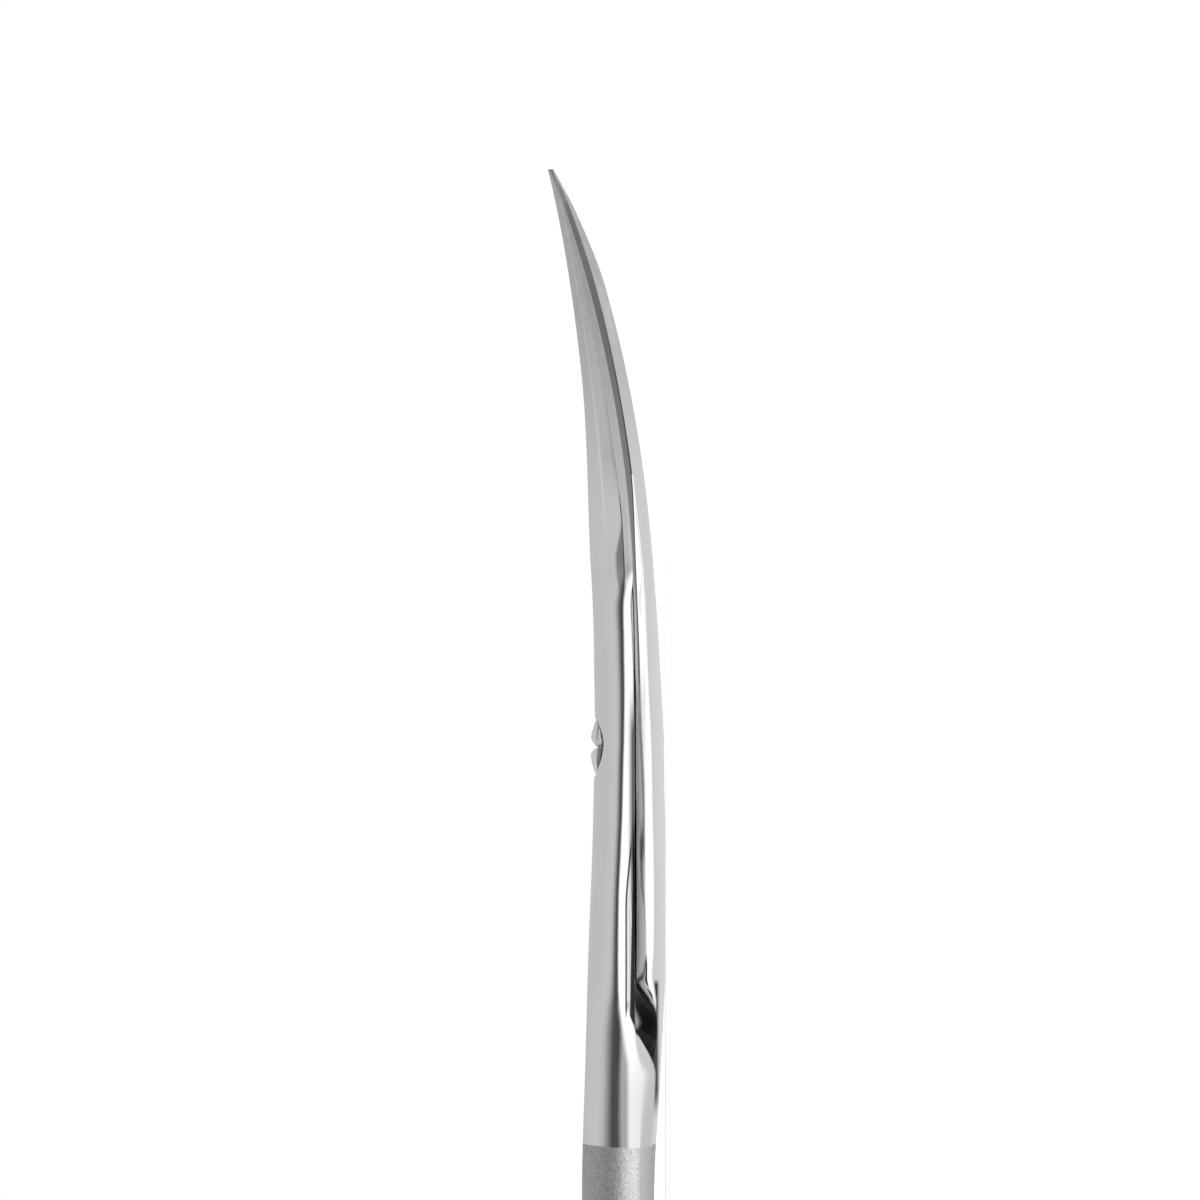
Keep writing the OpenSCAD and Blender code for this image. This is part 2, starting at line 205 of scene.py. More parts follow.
# Behind the pivot: the upper and the lower line of the side view
topLine = curveOf([
    (endX, size["rodHeight"] / 2 + endH / 2),
    (endX + 5, size["rodHeight"] + 0.35),
    (-30, size["shankLift"] + size["shankHeight"] - 0.2),
    (-22, size["shankLift"] + size["shankHeight"] - 0.13),
    (shoulderX, 0.25 + size["shankHeight"] + 0.08),
    (-10, topZ + 0.31),
    (-5, topZ + 0.12),
    (0, topZ),
])
bottomLine = curveOf([
    (endX, size["rodHeight"] / 2 - endH / 2),
    (endX + 5, 0.32),
    (-30, size["shankLift"]),
    (-22, size["shankLift"] - 0.06),
    (shoulderX, 0.24),
    (lapX + 1.6, 0),
    (lapX + 3.6, -size["restCut"]),
    (-5, -0.03),
    (-2, 0.04),
    (0, 0.055),
])
# Where the rounded back ends above the inner face, on either side: below it lies the bevel
edgeBevelLow = curveOf([
    (lapX - 2.6, -0.12),
    (lapX - 1.2, -0.08),
    (lapX - 0.2, 0.2),
    (lapX + 0.8, 0.45),
    (-7.6, 0.43),
    (-5, 0.26),
    (-2.6, 0.11),
    (2.4, 0.06),
    (heelX - 1.5, 0.16),
    (heelX - 0.3, 0.06),
    (heelX + 0.6, 0),
])
spineBevelLow = curveOf([
    (-24, 0.45),
    (shoulderX, 0.8),
    (lapX - 0.9, 1.15),
    (lapX + 0.5, 0.98),
    (lapX + 1.7, 0.56),
    (-3, 0.54),
    (3, 0.32),
    (heelX - 1, 0.2),
    (heelX + 1, 0.24),
    (heelX + 3, 0.34),
    (heelX + 5, 0.44),
    (size["bladeReach"] - 6, 0.43),
    (size["bladeReach"] - 3.5, 0.36),
    (size["bladeReach"] - 1.2, 0.26),
    (size["bladeReach"], 0.1),
])

# Narrow bevel along the cutting edge: how high it is at each place
edgeBevel = curveOf([
    (heelX, 0.42),
    (heelX + 1.6, 0.38),
    (heelX + 4, 0.34),
    (heelX + 8, 0.36),
    (heelX + 12, 0.29),
    (size["bladeReach"] - 4.5, 0.12),
    (size["bladeReach"] - 2, 0.03),
    (size["bladeReach"], 0.01),
])

# Blade section: the places of its ridge, crown and spine corner
bladeForm = {
    "upperCrownAcross": 0.5,
    "lowerCrownAcross": 0.1,
    "ridgeAcross": -0.36,
    "ridgeShare": 0.6,
    "ridgeShift": 0.14,
    "cornerAcross": 0.985,
    "faceHollow": 1.4,
    "fallAtHeel": 1.6,
    "fallAhead": 1.25,
    "runOutSlope": 0.74,
    "bevelSlope": 0.44,
    "cornerRadius": 0.05,    # how far the corners are rounded: on the blade and at its edge,
    "edgeRadius": 0.006,
    "backRadius": 0.08,      # on the joint and the shank, at its spine and at its rim,
    "spineRadius": 0.16,
    "rimRadius": 0.05,
    "lengthRadius": 0.09,    # and along the length
}
# Height of the steep side above the spine's corner, and of the hollow where the blade's grinding
# runs out at the heel
cornerRise = curveOf([
    (heelX - 2, 0.5),
    (heelX + 1, 0.27),
    (heelX + 4, 0.08),
    (heelX + 7, 0.02),
    (size["bladeReach"], 0.01),
])
heelRunOut = curveOf([
    (heelX - 1.5, 0.1),
    (heelX - 0.9, 0.28),
    (heelX - 0.2, 0.54),
    (heelX + 0.5, 0.54),
    (heelX + 1.3, 0.34),
    (heelX + 2.1, 0.1),
    (heelX + 3, 0.02),
])

# The two powers that give the rounded back of the joint and the shanks its form
domeAcross = curveOf([
    (lapX - 2.8, 1.0),
    (lapX + 0.6, 1.02),
    (-7.6, 1.3),
    (-2.6, 1.06),
    (2.4, 1.06),
    (heelX - 0.9, 1.2),
])
domeHigh = curveOf([
    (lapX - 6.8, 1.87),
    (lapX - 4.8, 1.96),
    (lapX - 3.4, 1.97),
    (lapX - 1.8, 1.83),
    (lapX, 1.75),
    (lapX + 0.6, 1.77),
    (lapX + 1.2, 1.96),
    (lapX + 1.8, 2.08),
    (lapX + 3, 2.16),
    (-7.6, 2.2),
    (-2.6, 2.49),
    (2.4, 2.34),
    (5, 2.2),
    (heelX - 0.9, 1.9),
])


# Shares from 0 to 1 of the shank's full round, of the hollow at the shoulder and of the blade
def shankShare(x):
    return ease(lapX - 0.4, shoulderX + 0.2, x)


def scoop(x):
    return ease(lapX + 1.8, lapX - 0.9, x)


def bladeness(x):
    return ease(heelX - 1.9, heelX + 0.2, x)


def softAbs(u, e):
    # distance from 0 with a rounded bottom, and still 1 at 1
    return (math.sqrt(u * u + e * e) - e) / (math.sqrt(1 + e * e) - e)


def dome(u, x):
    # the rounded back: u runs from -1 at the cutting edge's side to 1 at the spine's
    return max(0.0, 1 - softAbs(u, 0.1) ** domeAcross(x)) ** (1 / domeHigh(x))


def underside(u):
    # the round under a shank
    return max(0.0, 1 - softAbs(u, 0.3) ** 1.3) ** 0.667


def bladeOuter(t, x, half, out, low, crown):
    # t runs from 0 at the cutting edge to 12 at the spine's corner
    b = bladeForm
    bevel = min(edgeBevel(x), 0.3 * out)
    bevelU = -1 + min(b["bevelSlope"] * bevel / half, 0.3)
    ridge = b["ridgeShare"] * out
    ridgeAcross = b["ridgeAcross"] - b["ridgeShift"] * ease(heelX + 2, heelX + 6, x)
    corner = min(low + cornerRise(x), 0.8 * out)
    hollow = max(heelRunOut(x), 0.03 * out)
    slope = mix(b["runOutSlope"], b["bevelSlope"], ease(heelX + 2.4, heelX + 4, x))
    hollowU = bevelU + slope * hollow / half
    if t <= 1:
        return mix(-1, bevelU, t), mix(0, bevel, t)
    if t <= 2:
        return mix(bevelU, hollowU, t - 1), mix(bevel, bevel + hollow, t - 1)
    if t <= 4:
        k = (t - 2) / 2
        return mix(hollowU, ridgeAcross, k), mix(bevel + hollow, ridge, k)
    if t <= 7:
        k = (t - 4) / 3
        return mix(ridgeAcross, crown, k), mix(out, ridge, (1 - k) ** b["faceHollow"])
    if t <= 11:
        k = (t - 7) / 4
        fall = mix(b["fallAhead"], b["fallAtHeel"], ease(heelX + 6, heelX, x))
        return mix(crown, b["cornerAcross"], k), mix(out, corner, k ** fall)
    k = t - 11
    return mix(b["cornerAcross"], 1, k), mix(corner, low, k)


def outerPoint(x, t, out, crown):
    a = edgeSide(x)
    b = spineSide(x)
    half = (b - a) / 2
    share = t / 12
    low = min(mix(edgeBevelLow(x), spineBevelLow(x), share), 0.9 * out)
    u = -math.cos(math.pi * share)
    k = bladeness(x)
    across, high = bladeOuter(t, x, half, out, min(low, 0.6 * out), crown)
    return (
        (a + b) / 2 + half * mix(u, across, k),
        mix(low + (out - low) * dome(u, x), high, k),
    )


def innerPoint(x, t, out, deep):
    # t runs from 0 at the spine's side to 1 at the cutting edge
    a = edgeSide(x)
    b = spineSide(x)
    half = (b - a) / 2
    lowA = min(edgeBevelLow(x), 0.6 * out)
    lowB = min(spineBevelLow(x), 0.9 * out)
    spineSlope = mix(0.84, 0.74, ease(-2, heelX - 1, x))
    edgeSlope = mix(1.0, 1.65, ease(-2, -6, x))
    flatFrom = b - min(spineSlope * lowB, 0.62 * half)
    flatTo = a + max(0.02, min(edgeSlope * lowA, 0.3 * half))
    roundU = math.cos(math.pi * (10 * t + 1) / 12)
    shank = shankShare(x)
    scooped = lowB * scoop(x) * (1 - ease(0.1, 0.6, t))
    # the corners of the inner face are eased off, so that a dark line shows between the halves
    spineGroove = mix(0.015, 0.05, ease(1, -5, x)) * (1 - bladeness(x))
    edgeGroove = mix(0.015, 0.115, ease(-3.5, -6, x)) * (1 - bladeness(x))
    corners = spineGroove * (1 - ease(0, 0.035, t)) + edgeGroove * ease(0.955, 0.99, t)
    scooped += corners * (1 - shank)
    hollowed = size["hollow"] * bladeness(x) * math.sin(math.pi * t) * min(1, half)
    roundH = mix(mix(lowB, lowA, t), -deep, underside(roundU))
    return (
        mix(mix(flatFrom, flatTo, t), (a + b) / 2 + half * roundU, shank),
        mix(scooped + hollowed, roundH, shank),
    )


def spaced(a, b, n):
    return list(np.linspace(a, b, n, endpoint=False))


# Places of the sections along the length
stations = (
    spaced(endX, -24, 60)
    + spaced(-24, shoulderX - 0.6, 50)
    + spaced(shoulderX - 0.6, lapX + 3, 90)
    + spaced(lapX + 3, heelX - 3, 110)
    + spaced(heelX - 3, heelX + 2, 60)
    + spaced(heelX + 2, size["bladeReach"] - 1, 110)
    + spaced(size["bladeReach"] - 1, size["bladeReach"], 20)
    + [size["bladeReach"]]
)


# Steps round the section, closer together at its corners
outerSteps = (
    [0, 0.15, 0.4, 0.7, 0.9, 1.0, 1.1, 1.3]
    + list(np.linspace(1.6, 3.7, 8))
    + [3.85, 4.0, 4.15]
    + list(np.linspace(4.4, 10.6, 28))
    + [10.8, 10.9, 11.0, 11.1, 11.25, 11.4, 11.55, 11.7, 11.85, 12.0]
)
innerSteps = [0, 0.012, 0.025, 0.04] + list(np.linspace(0.08, 0.92, 22)) + [0.96, 0.975, 0.988, 1.0]


def sectionOf(x, side):
    # closed outline of (across, height above the inner face): over the back, round the spine's
    # bevel, along the inner face and up the cutting edge
    up = side > 0
    face = splitZ + side * size["seenGap"] / 2
    top = topLine(x) - face
    bottom = face - bottomLine(x)
    front = (upperOut if up else lowerOut)(x)
    out = front if x > 0 else (top if up else bottom)
    deep = bottom - size["shankTrim"] if up else top
    crown = bladeForm["upperCrownAcross" if up else "lowerCrownAcross"]
    # the back, stretched so that it reaches its full height at every place
    points = [outerPoint(x, t, out, crown) for t in outerSteps]
    lift = out / max(h for _, h in points)
    points = [(s, h * lift) for s, h in points]
    spineStart = points[-1]
    innerStart = innerPoint(x, 0, out, deep)
    for k in (0.12, 0.24, 0.36, 0.5, 0.64, 0.78, 0.9):    # the bevel between spine and inner face
        points.append((mix(spineStart[0], innerStart[0], k), mix(spineStart[1], innerStart[1], k)))
    points += [innerPoint(x, t, out, deep) for t in innerSteps]
    innerEnd = points[-1]
    edge = points[0]
    # the bevel at the cutting edge's side is cut in a little behind the joint
    undercut = 0.12 * ease(-4, -7, x) * max(0.0, edge[1])
    for k, cut in ((0.25, 0), (0.5, 0), (0.7, 0.8), (0.8, 1), (0.9, 0.6)):
        points.append((mix(innerEnd[0], edge[0], k), mix(innerEnd[1], edge[1], k) + cut * undercut))
    return np.array(points)


def softened(points, radii):
    # rounds the section's corners: each point becomes the mean of what lies within its radius
    following = np.roll(points, -1, axis=0)
    lengths = np.linalg.norm(following - points, axis=1)
    at = np.concatenate([[0], np.cumsum(lengths)[:-1]])
    total = lengths.sum()
    weight = 0.5 * (lengths + np.roll(lengths, 1)) + 1e-9
    gap = np.abs(at[:, None] - at[None, :])
    gap = np.minimum(gap, total - gap)
    w = np.exp(-0.5 * (gap / radii[:, None]) ** 2) * weight[None, :]
    return (w @ points) / w.sum(axis=1)[:, None]


def halfSkin(side):
    # a row of points round the half for each station, set in place on the scissors
    b = bladeForm
    rows = []
    for x in stations:
        section = sectionOf(x, side)
        k = bladeness(x)
        radii = np.full(len(section), mix(b["backRadius"], b["cornerRadius"], k))
        corner = len(outerSteps) - 1
        spineRadius = mix(b["spineRadius"], b["cornerRadius"] * 0.7, ease(0, heelX, x))
        radii[corner - 10:corner + 8] = spineRadius
        if k > 0:
            radii *= min(1.0, (size["bladeReach"] - x) / 12 + 0.12)
        sharp = mix(b["rimRadius"], b["edgeRadius"], k)
        sharp *= mix(1, 0.1, ease(heelX + 1, heelX + 4, x))
        radii[:9] = sharp
        radii[-9:] = sharp
        rows.append(softened(section, radii))
    grid = np.array(rows)
    # along the length each line of the skin is eased a little as well
    xs = np.array(stations)
    gap = np.abs(xs[:, None] - xs[None, :])
    w = np.exp(-0.5 * (gap / b["lengthRadius"]) ** 2)
    w[-1, :] = 0
    w[-1, -1] = 1
    grid = np.einsum("ij,jkl->ikl", w, grid) / w.sum(axis=1)[:, None, None]
    face = splitZ + side * size["seenGap"] / 2
    skin = np.zeros((len(xs), grid.shape[1], 3))
    for i, x in enumerate(xs):
        for j in range(grid.shape[1]):
            s, h = grid[i, j]
            z = face + rise(x, s) + side * h
            skin[i, j] = (x, side * s, max(z, 0.0) if x > lapX else z)
    return skin


def deselectAll():
    bpy.ops.object.select_all(action="DESELECT")


def useOnly(piece):
    deselectAll()
    piece.select_set(True)
    bpy.context.view_layer.objects.active = piece


def gridPiece(name, skin):
    # a grid is laid over the skin's points, its seam is merged and its ends are closed
    rows, columns = skin.shape[:2]
    deselectAll()
    bpy.ops.mesh.primitive_grid_add(x_subdivisions=columns, y_subdivisions=rows - 1, size=1)
    piece = bpy.context.active_object
    piece.name = name
    piece.data.name = name
    closed = np.concatenate([skin, skin[:, :1]], axis=1)
    piece.data.vertices.foreach_set("co", (closed.reshape(-1, 3) * mm).ravel())
    piece.data.update()
    bpy.ops.object.mode_set(mode="EDIT")
    bpy.ops.mesh.select_all(action="SELECT")
    bpy.ops.mesh.remove_doubles(threshold=1e-8)
    bpy.ops.mesh.select_all(action="DESELECT")
    bpy.ops.mesh.select_mode(type="EDGE")
    bpy.ops.mesh.select_non_manifold(
        extend=False, use_wire=False, use_boundary=True,
        use_multi_face=False, use_non_contiguous=False, use_verts=False,
    )
    bpy.ops.mesh.edge_face_add()
    bpy.ops.mesh.select_all(action="SELECT")
    bpy.ops.mesh.normals_make_consistent(inside=False)
    bpy.ops.object.mode_set(mode="OBJECT")
    return piece


print("scene: form of the halves ready")

# Finger ring, and how its crotches with the shank are filled and smoothed
ringForm = {
    "aroundSteps": 200,
    "rodSteps": 40,
    "fillet": 2.2,
    "seamFrom": -30,
    "seamWidth": 0.9,
    "seamTurns": 14,
}


def ringPiece(name, side):
    # a torus whose points are placed on the egg-shaped ring, with the rod's own height
    r = ringForm
    deselectAll()
    bpy.ops.mesh.primitive_torus_add(
        major_segments=r["aroundSteps"], minor_segments=r["rodSteps"],
        major_radius=ringA * mm, minor_radius=size["rodWidth"] / 2 * mm,
    )
    piece = bpy.context.active_object
    piece.name = name
    place = []
    for i in range(r["aroundSteps"]):
        t = 2 * math.pi * i / r["aroundSteps"]
        c = math.cos(t)
        middle = np.array([ringX + ringA * c, ringY + ringB * (1 - size["egg"] * c) * math.sin(t)])
        out = np.array([ringB * c, ringA * math.sin(t)])
        out /= np.linalg.norm(out)
        for j in range(r["rodSteps"]):
            v = 2 * math.pi * j / r["rodSteps"]
            q = middle + out * size["rodWidth"] / 2 * math.cos(v)
            place.append((q[0], side * q[1], size["rodHeight"] / 2 * (1 + side * math.sin(v))))
    piece.data.vertices.foreach_set("co", (np.array(place) * mm).ravel())
    piece.data.update()
    bpy.ops.object.mode_set(mode="EDIT")
    bpy.ops.mesh.select_all(action="SELECT")
    bpy.ops.mesh.normals_make_consistent(inside=False)
    bpy.ops.object.mode_set(mode="OBJECT")
    return piece


def treeOf(piece):
    return BVHTree.FromObject(piece, bpy.context.evaluated_depsgraph_get())


def fillCrotch(first, second):
    # where the shank and the ring meet at an angle, both swell until their faces run together
    k = ringForm["fillet"] * mm
    trees = [treeOf(first), treeOf(second)]
    moved = []
    for piece, other in ((first, trees[1]), (second, trees[0])):
        places = []
        for v in piece.data.vertices:
            here = v.co.copy()
            near, nearNormal, _, _ = other.find_nearest(here, 2.5 * k)
            if near is not None:
                turn = min(1.0, max(0.0, 1.3 * (0.85 - v.normal.dot(nearNormal))))
                turn *= ease(endX + 0.4, endX + 3, here.x / mm)
                d = 0.0
                for _ in range(10):
                    hit, hitNormal, _, dist = other.find_nearest(here + v.normal * d)
                    f = dist if (here + v.normal * d - hit).dot(hitNormal) >= 0 else -dist
                    apart = max(k - abs(d - f), 0.0)
                    d = 0.5 * d + 0.5 * turn * apart * apart / (4 * k)
                here = here + v.normal * d
                here.z = max(here.z, min(v.co.z, 0.03 * mm))
            places.append(here)
        moved.append(places)
    for piece, places in zip((first, second), moved):
        for v, here in zip(piece.data.vertices, places):
            v.co = here
        piece.data.update()


def softenSeam(piece, trees):
    # after the union the points close to both faces are evened out
    r = ringForm
    group = piece.vertex_groups.new(name="seam")
    for v in piece.data.vertices:
        if v.co.x < r["seamFrom"] * mm:
            apart = max(tree.find_nearest(v.co)[3] for tree in trees) / mm
            share = ease(r["seamWidth"], 0.2, apart)
            if share > 0:
                group.add([v.index], share, "REPLACE")
    useOnly(piece)
    change = piece.modifiers.new("even", "SMOOTH")
    change.factor = 0.5
    change.iterations = r["seamTurns"]
    change.vertex_group = group.name
    bpy.ops.object.modifier_apply(modifier=change.name)
    piece.vertex_groups.clear()


def cutBy(piece, cutter, kind="DIFFERENCE"):
    useOnly(piece)
    change = piece.modifiers.new("cut", "BOOLEAN")
    change.operation = kind
    change.solver = "EXACT"
    change.object = cutter
    bpy.ops.object.modifier_apply(modifier=change.name)
    bpy.data.objects.remove(cutter, do_unlink=True)


def turnedPiece(name, outline, sides=128):
    # outline of (radius, height) pairs from the bottom to the top, turned about the pivot axis
    deselectAll()
    bpy.ops.mesh.primitive_circle_add(
        vertices=sides, radius=outline[0][0] * mm, fill_type="NGON",
        location=(0, 0, outline[0][1] * mm),
    )
    piece = bpy.context.active_object
    piece.name = name
    bpy.ops.object.transform_apply(location=True, rotation=True, scale=True)
    bpy.ops.object.mode_set(mode="EDIT")
    bpy.ops.mesh.select_all(action="SELECT")
    here = outline[0]
    for radius, height in outline[1:]:
        step = (0, 0, (height - here[1]) * mm)
        bpy.ops.mesh.extrude_region_move(TRANSFORM_OT_translate={"value": step})
        grow = radius / here[0]
        bpy.ops.transform.resize(value=(grow, grow, 1), center_override=(0, 0, height * mm))
        here = (radius, height)
    bpy.ops.mesh.select_all(action="SELECT")
    bpy.ops.mesh.normals_make_consistent(inside=False)
    bpy.ops.object.mode_set(mode="OBJECT")
    return piece


# Pivot screw, in millimetres. The slot's outline gives (across, height above the head's top).
screw = {
    "headDia": 2.92,
    "domeRadius": 3.4,
    "domeSteps": 24,
    "proud": 0.225,
    "rim": 0.3,
    "rimChamfer": 0.04,
    "rimRoundUp": 0.05,
    "rimRoundIn": 0.03,
    "shoulderDia": 2.1,
    "studDia": 1.8,
    "studLow": 0.06,
    "poleRadius": 0.012,
    "boreClear": 0.03,
    "headClear": 0.07,
    "edge": 0.02,
    "slotOutline": [
        (0.62, 0.14), (0.5, -0.04), (0.33, -0.11), (0.14, -0.23), (0.05, -0.33), (0.015, -0.4),
        (-0.03, -0.4), (-0.03, -0.31), (-0.09, -0.2), (-0.215, -0.08), (-0.375, -0.04),
        (-0.47, 0.14),
    ],
}
headTop = topZ + screw["proud"]
headRadius = screw["headDia"] / 2
domeDrop = screw["domeRadius"] - math.sqrt(screw["domeRadius"] ** 2 - headRadius ** 2)
seatZ = headTop - domeDrop - screw["rim"]
backOfLower = {}    # the lower half's faces before the stud's hole, for the end of the stud


def makeHalf(name, side):
    piece = gridPiece(name, halfSkin(side))
    ring = ringPiece(name + "Ring", side)
    fillCrotch(piece, ring)
    trees = [treeOf(piece), treeOf(ring)]
    cutBy(piece, ring, "UNION")
    softenSeam(piece, trees)
    if side > 0:
        bore = screw["shoulderDia"] / 2 + screw["boreClear"]
        recess = headRadius + screw["headClear"]
        floor = seatZ - size["faceGap"]
        outline = [(bore, -1), (bore, floor), (recess, floor), (recess, headTop + 1)]
        cutBy(piece, turnedPiece("boreCutter", outline))
    else:
        stud = screw["studDia"] / 2
        backOfLower["tree"] = treeOf(piece)
        cutBy(piece, turnedPiece("studCutter", [(stud, -1), (stud, topZ)]))
    useOnly(piece)
    bpy.ops.object.shade_smooth_by_angle(angle=math.radians(32))
    print("scene:", name, len(piece.data.polygons), "faces")
    return piece


def makeScrew():
    s = screw
    low = s["studLow"]
    stud = s["studDia"] / 2
    shoulder = s["shoulderDia"] / 2
    chamfer = s["rimChamfer"]
    rows = [(s["poleRadius"], low)] + [(stud * k / 6, low) for k in range(1, 7)]
    rows += [(stud, size["lowerThick"]), (shoulder, size["lowerThick"]), (shoulder, seatZ)]
    rows += [(headRadius - chamfer, seatZ), (headRadius, seatZ + chamfer)]
    rows.append((headRadius, seatZ + s["rim"] - s["rimRoundUp"]))
    centre = headTop - s["domeRadius"]
    start = math.asin((headRadius - s["rimRoundIn"]) / s["domeRadius"])
    for i in range(s["domeSteps"]):
        a = start * (1 - i / s["domeSteps"])
        rows.append((s["domeRadius"] * math.sin(a), centre + s["domeRadius"] * math.cos(a)))
    rows.append((s["poleRadius"], headTop))
    piece = turnedPiece("pivotScrewSteel", rows)
    # the end of the stud is ground flush with the back of the lower half
    for v in piece.data.vertices:
        if v.co.z < (low + 0.01) * mm:
            below = Vector((v.co.x, v.co.y, -mm))
            hit = backOfLower["tree"].ray_cast(below, Vector((0, 0, 1)))[0]
            v.co.z = max(hit.z, 0.0)
    # the slot's outline along X and Z, drawn out along Y
    deselectAll()
    outline = s["slotOutline"]
    bpy.ops.mesh.primitive_circle_add(vertices=len(outline), radius=mm, fill_type="NGON")
    cutter = bpy.context.active_object
    for v, (x, z) in zip(cutter.data.vertices, outline):
        v.co = Vector((x, -s["headDia"], headTop + z)) * mm
    bpy.ops.object.mode_set(mode="EDIT")
    bpy.ops.mesh.select_all(action="SELECT")
    through = (0, 2 * s["headDia"] * mm, 0)
    bpy.ops.mesh.extrude_region_move(TRANSFORM_OT_translate={"value": through})
    bpy.ops.mesh.select_all(action="SELECT")
    bpy.ops.mesh.normals_make_consistent(inside=False)
    bpy.ops.object.mode_set(mode="OBJECT")
    cutBy(piece, cutter)
    useOnly(piece)
    soft = piece.modifiers.new("edges", "BEVEL")
    soft.width = s["edge"] * mm
    soft.segments = 3
    soft.limit_method = "ANGLE"
    soft.angle_limit = math.radians(38)
    bpy.ops.object.modifier_apply(modifier=soft.name)
    bpy.ops.object.shade_smooth_by_angle(angle=math.radians(35))
    print("scene: screw", len(piece.data.polygons), "faces")
    return piece


class Value:
    # a socket that takes part in Python sums, each adding its Math node
    def __init__(self, make, socket):
        self.make = make
        self.socket = socket

    def maths(self, operation, *others):
        inputs = dict(enumerate((self,) + others))
        return self.make("ShaderNodeMath", {"operation": operation}, inputs)

    def __add__(self, o):
        return self.maths("ADD", o)

    def __sub__(self, o):
        return self.maths("SUBTRACT", o)

    def __mul__(self, o):
        return self.maths("MULTIPLY", o)

    def __truediv__(self, o):
        return self.maths("DIVIDE", o)

    def __pow__(self, o):
        return self.maths("POWER", o)

    def __rsub__(self, o):
        return self.make("ShaderNodeMath", {"operation": "SUBTRACT"}, {0: o, 1: self})

    __radd__ = __add__
    __rmul__ = __mul__

    def above(self, low, high):
        # 0 below low, 1 above high, smooth in between
        settings = {"interpolation_type": "SMOOTHSTEP"}
        inputs = {0: self, 1: low, 2: high, 3: 0.0, 4: 1.0}
        return self.make("ShaderNodeMapRange", settings, inputs)

    def below(self, low, high):
        return 1 - self.above(low, high)

    def within(self, startLow, startHigh, endLow, endHigh):
        return self.above(startLow, startHigh) * self.below(endLow, endHigh)


def nodeMaker(tree):
    def make(kind, settings=None, inputs=None, output=0):
        node = tree.nodes.new(kind)
        for key, value in (settings or {}).items():
            if key == "stops":
                ramp = node.color_ramp
                while len(ramp.elements) < len(value):
                    ramp.elements.new(0.5)
                for element, (place, grey) in zip(ramp.elements, value):
                    element.position = place
                    element.color = (grey, grey, grey, 1)
            else:
                setattr(node, key, value)
        for key, value in (inputs or {}).items():
            socket = node.inputs[key]
            if isinstance(value, Value):
                tree.links.new(value.socket, socket)
            else:
                socket.default_value = value
        make.node = node
        return Value(make, node.outputs[output]) if node.outputs else None

    return make


def newMaterial(name):
    material = bpy.data.materials.new(name)
    material.use_nodes = True
    material.node_tree.nodes.clear()
    return material, nodeMaker(material.node_tree)


def mixNumber(a, b, share):
    return a + (b - a) * share


def noise(make, spot, scale, detail, rough=0.5):
    inputs = {"Vector": spot, "Scale": scale, "Detail": detail, "Roughness": rough}
    return make("ShaderNodeTexNoise", None, inputs)


def axes(make, vector):
    make("ShaderNodeSeparateXYZ", None, {0: vector})
    return [Value(make, socket) for socket in make.node.outputs]


def coordinates(make):
    # the piece's own coordinates, and then along, across and up in millimetres
    spot = make("ShaderNodeTexCoord", None, None, "Object")
    x, y, z = axes(make, spot)
    return spot, x / mm, y / mm, z / mm


# Polished steel in front of the satin line, satin steel behind it. The places in the functions
# below are in millimetres: along, across and up.
steel = {
    "polishedGrey": 0.78,
    "polishedRough": 0.055,
    "satinGrey": 0.62,
    "satinRough": 0.4,
    "satinFrom": -19.93,
    "grainSize": 0.12,
    "brushedFrom": 11.0,     # towards the tips the blades are brushed
    "brushedTo": 23.5,
    "flatDullAndShade": 0.3,         # the ground flats that slide on each other: duller, and partly painted shade between the halves
    "upperLipShade": 0.28,    # painted shade at the edges of those flats
    "lowerLipShade": 0.92,
    "tipDark": 0.75,         # the cut end of the tips
    "recessShade": 0.85,      # painted shade in the round recess under the screw's head
}


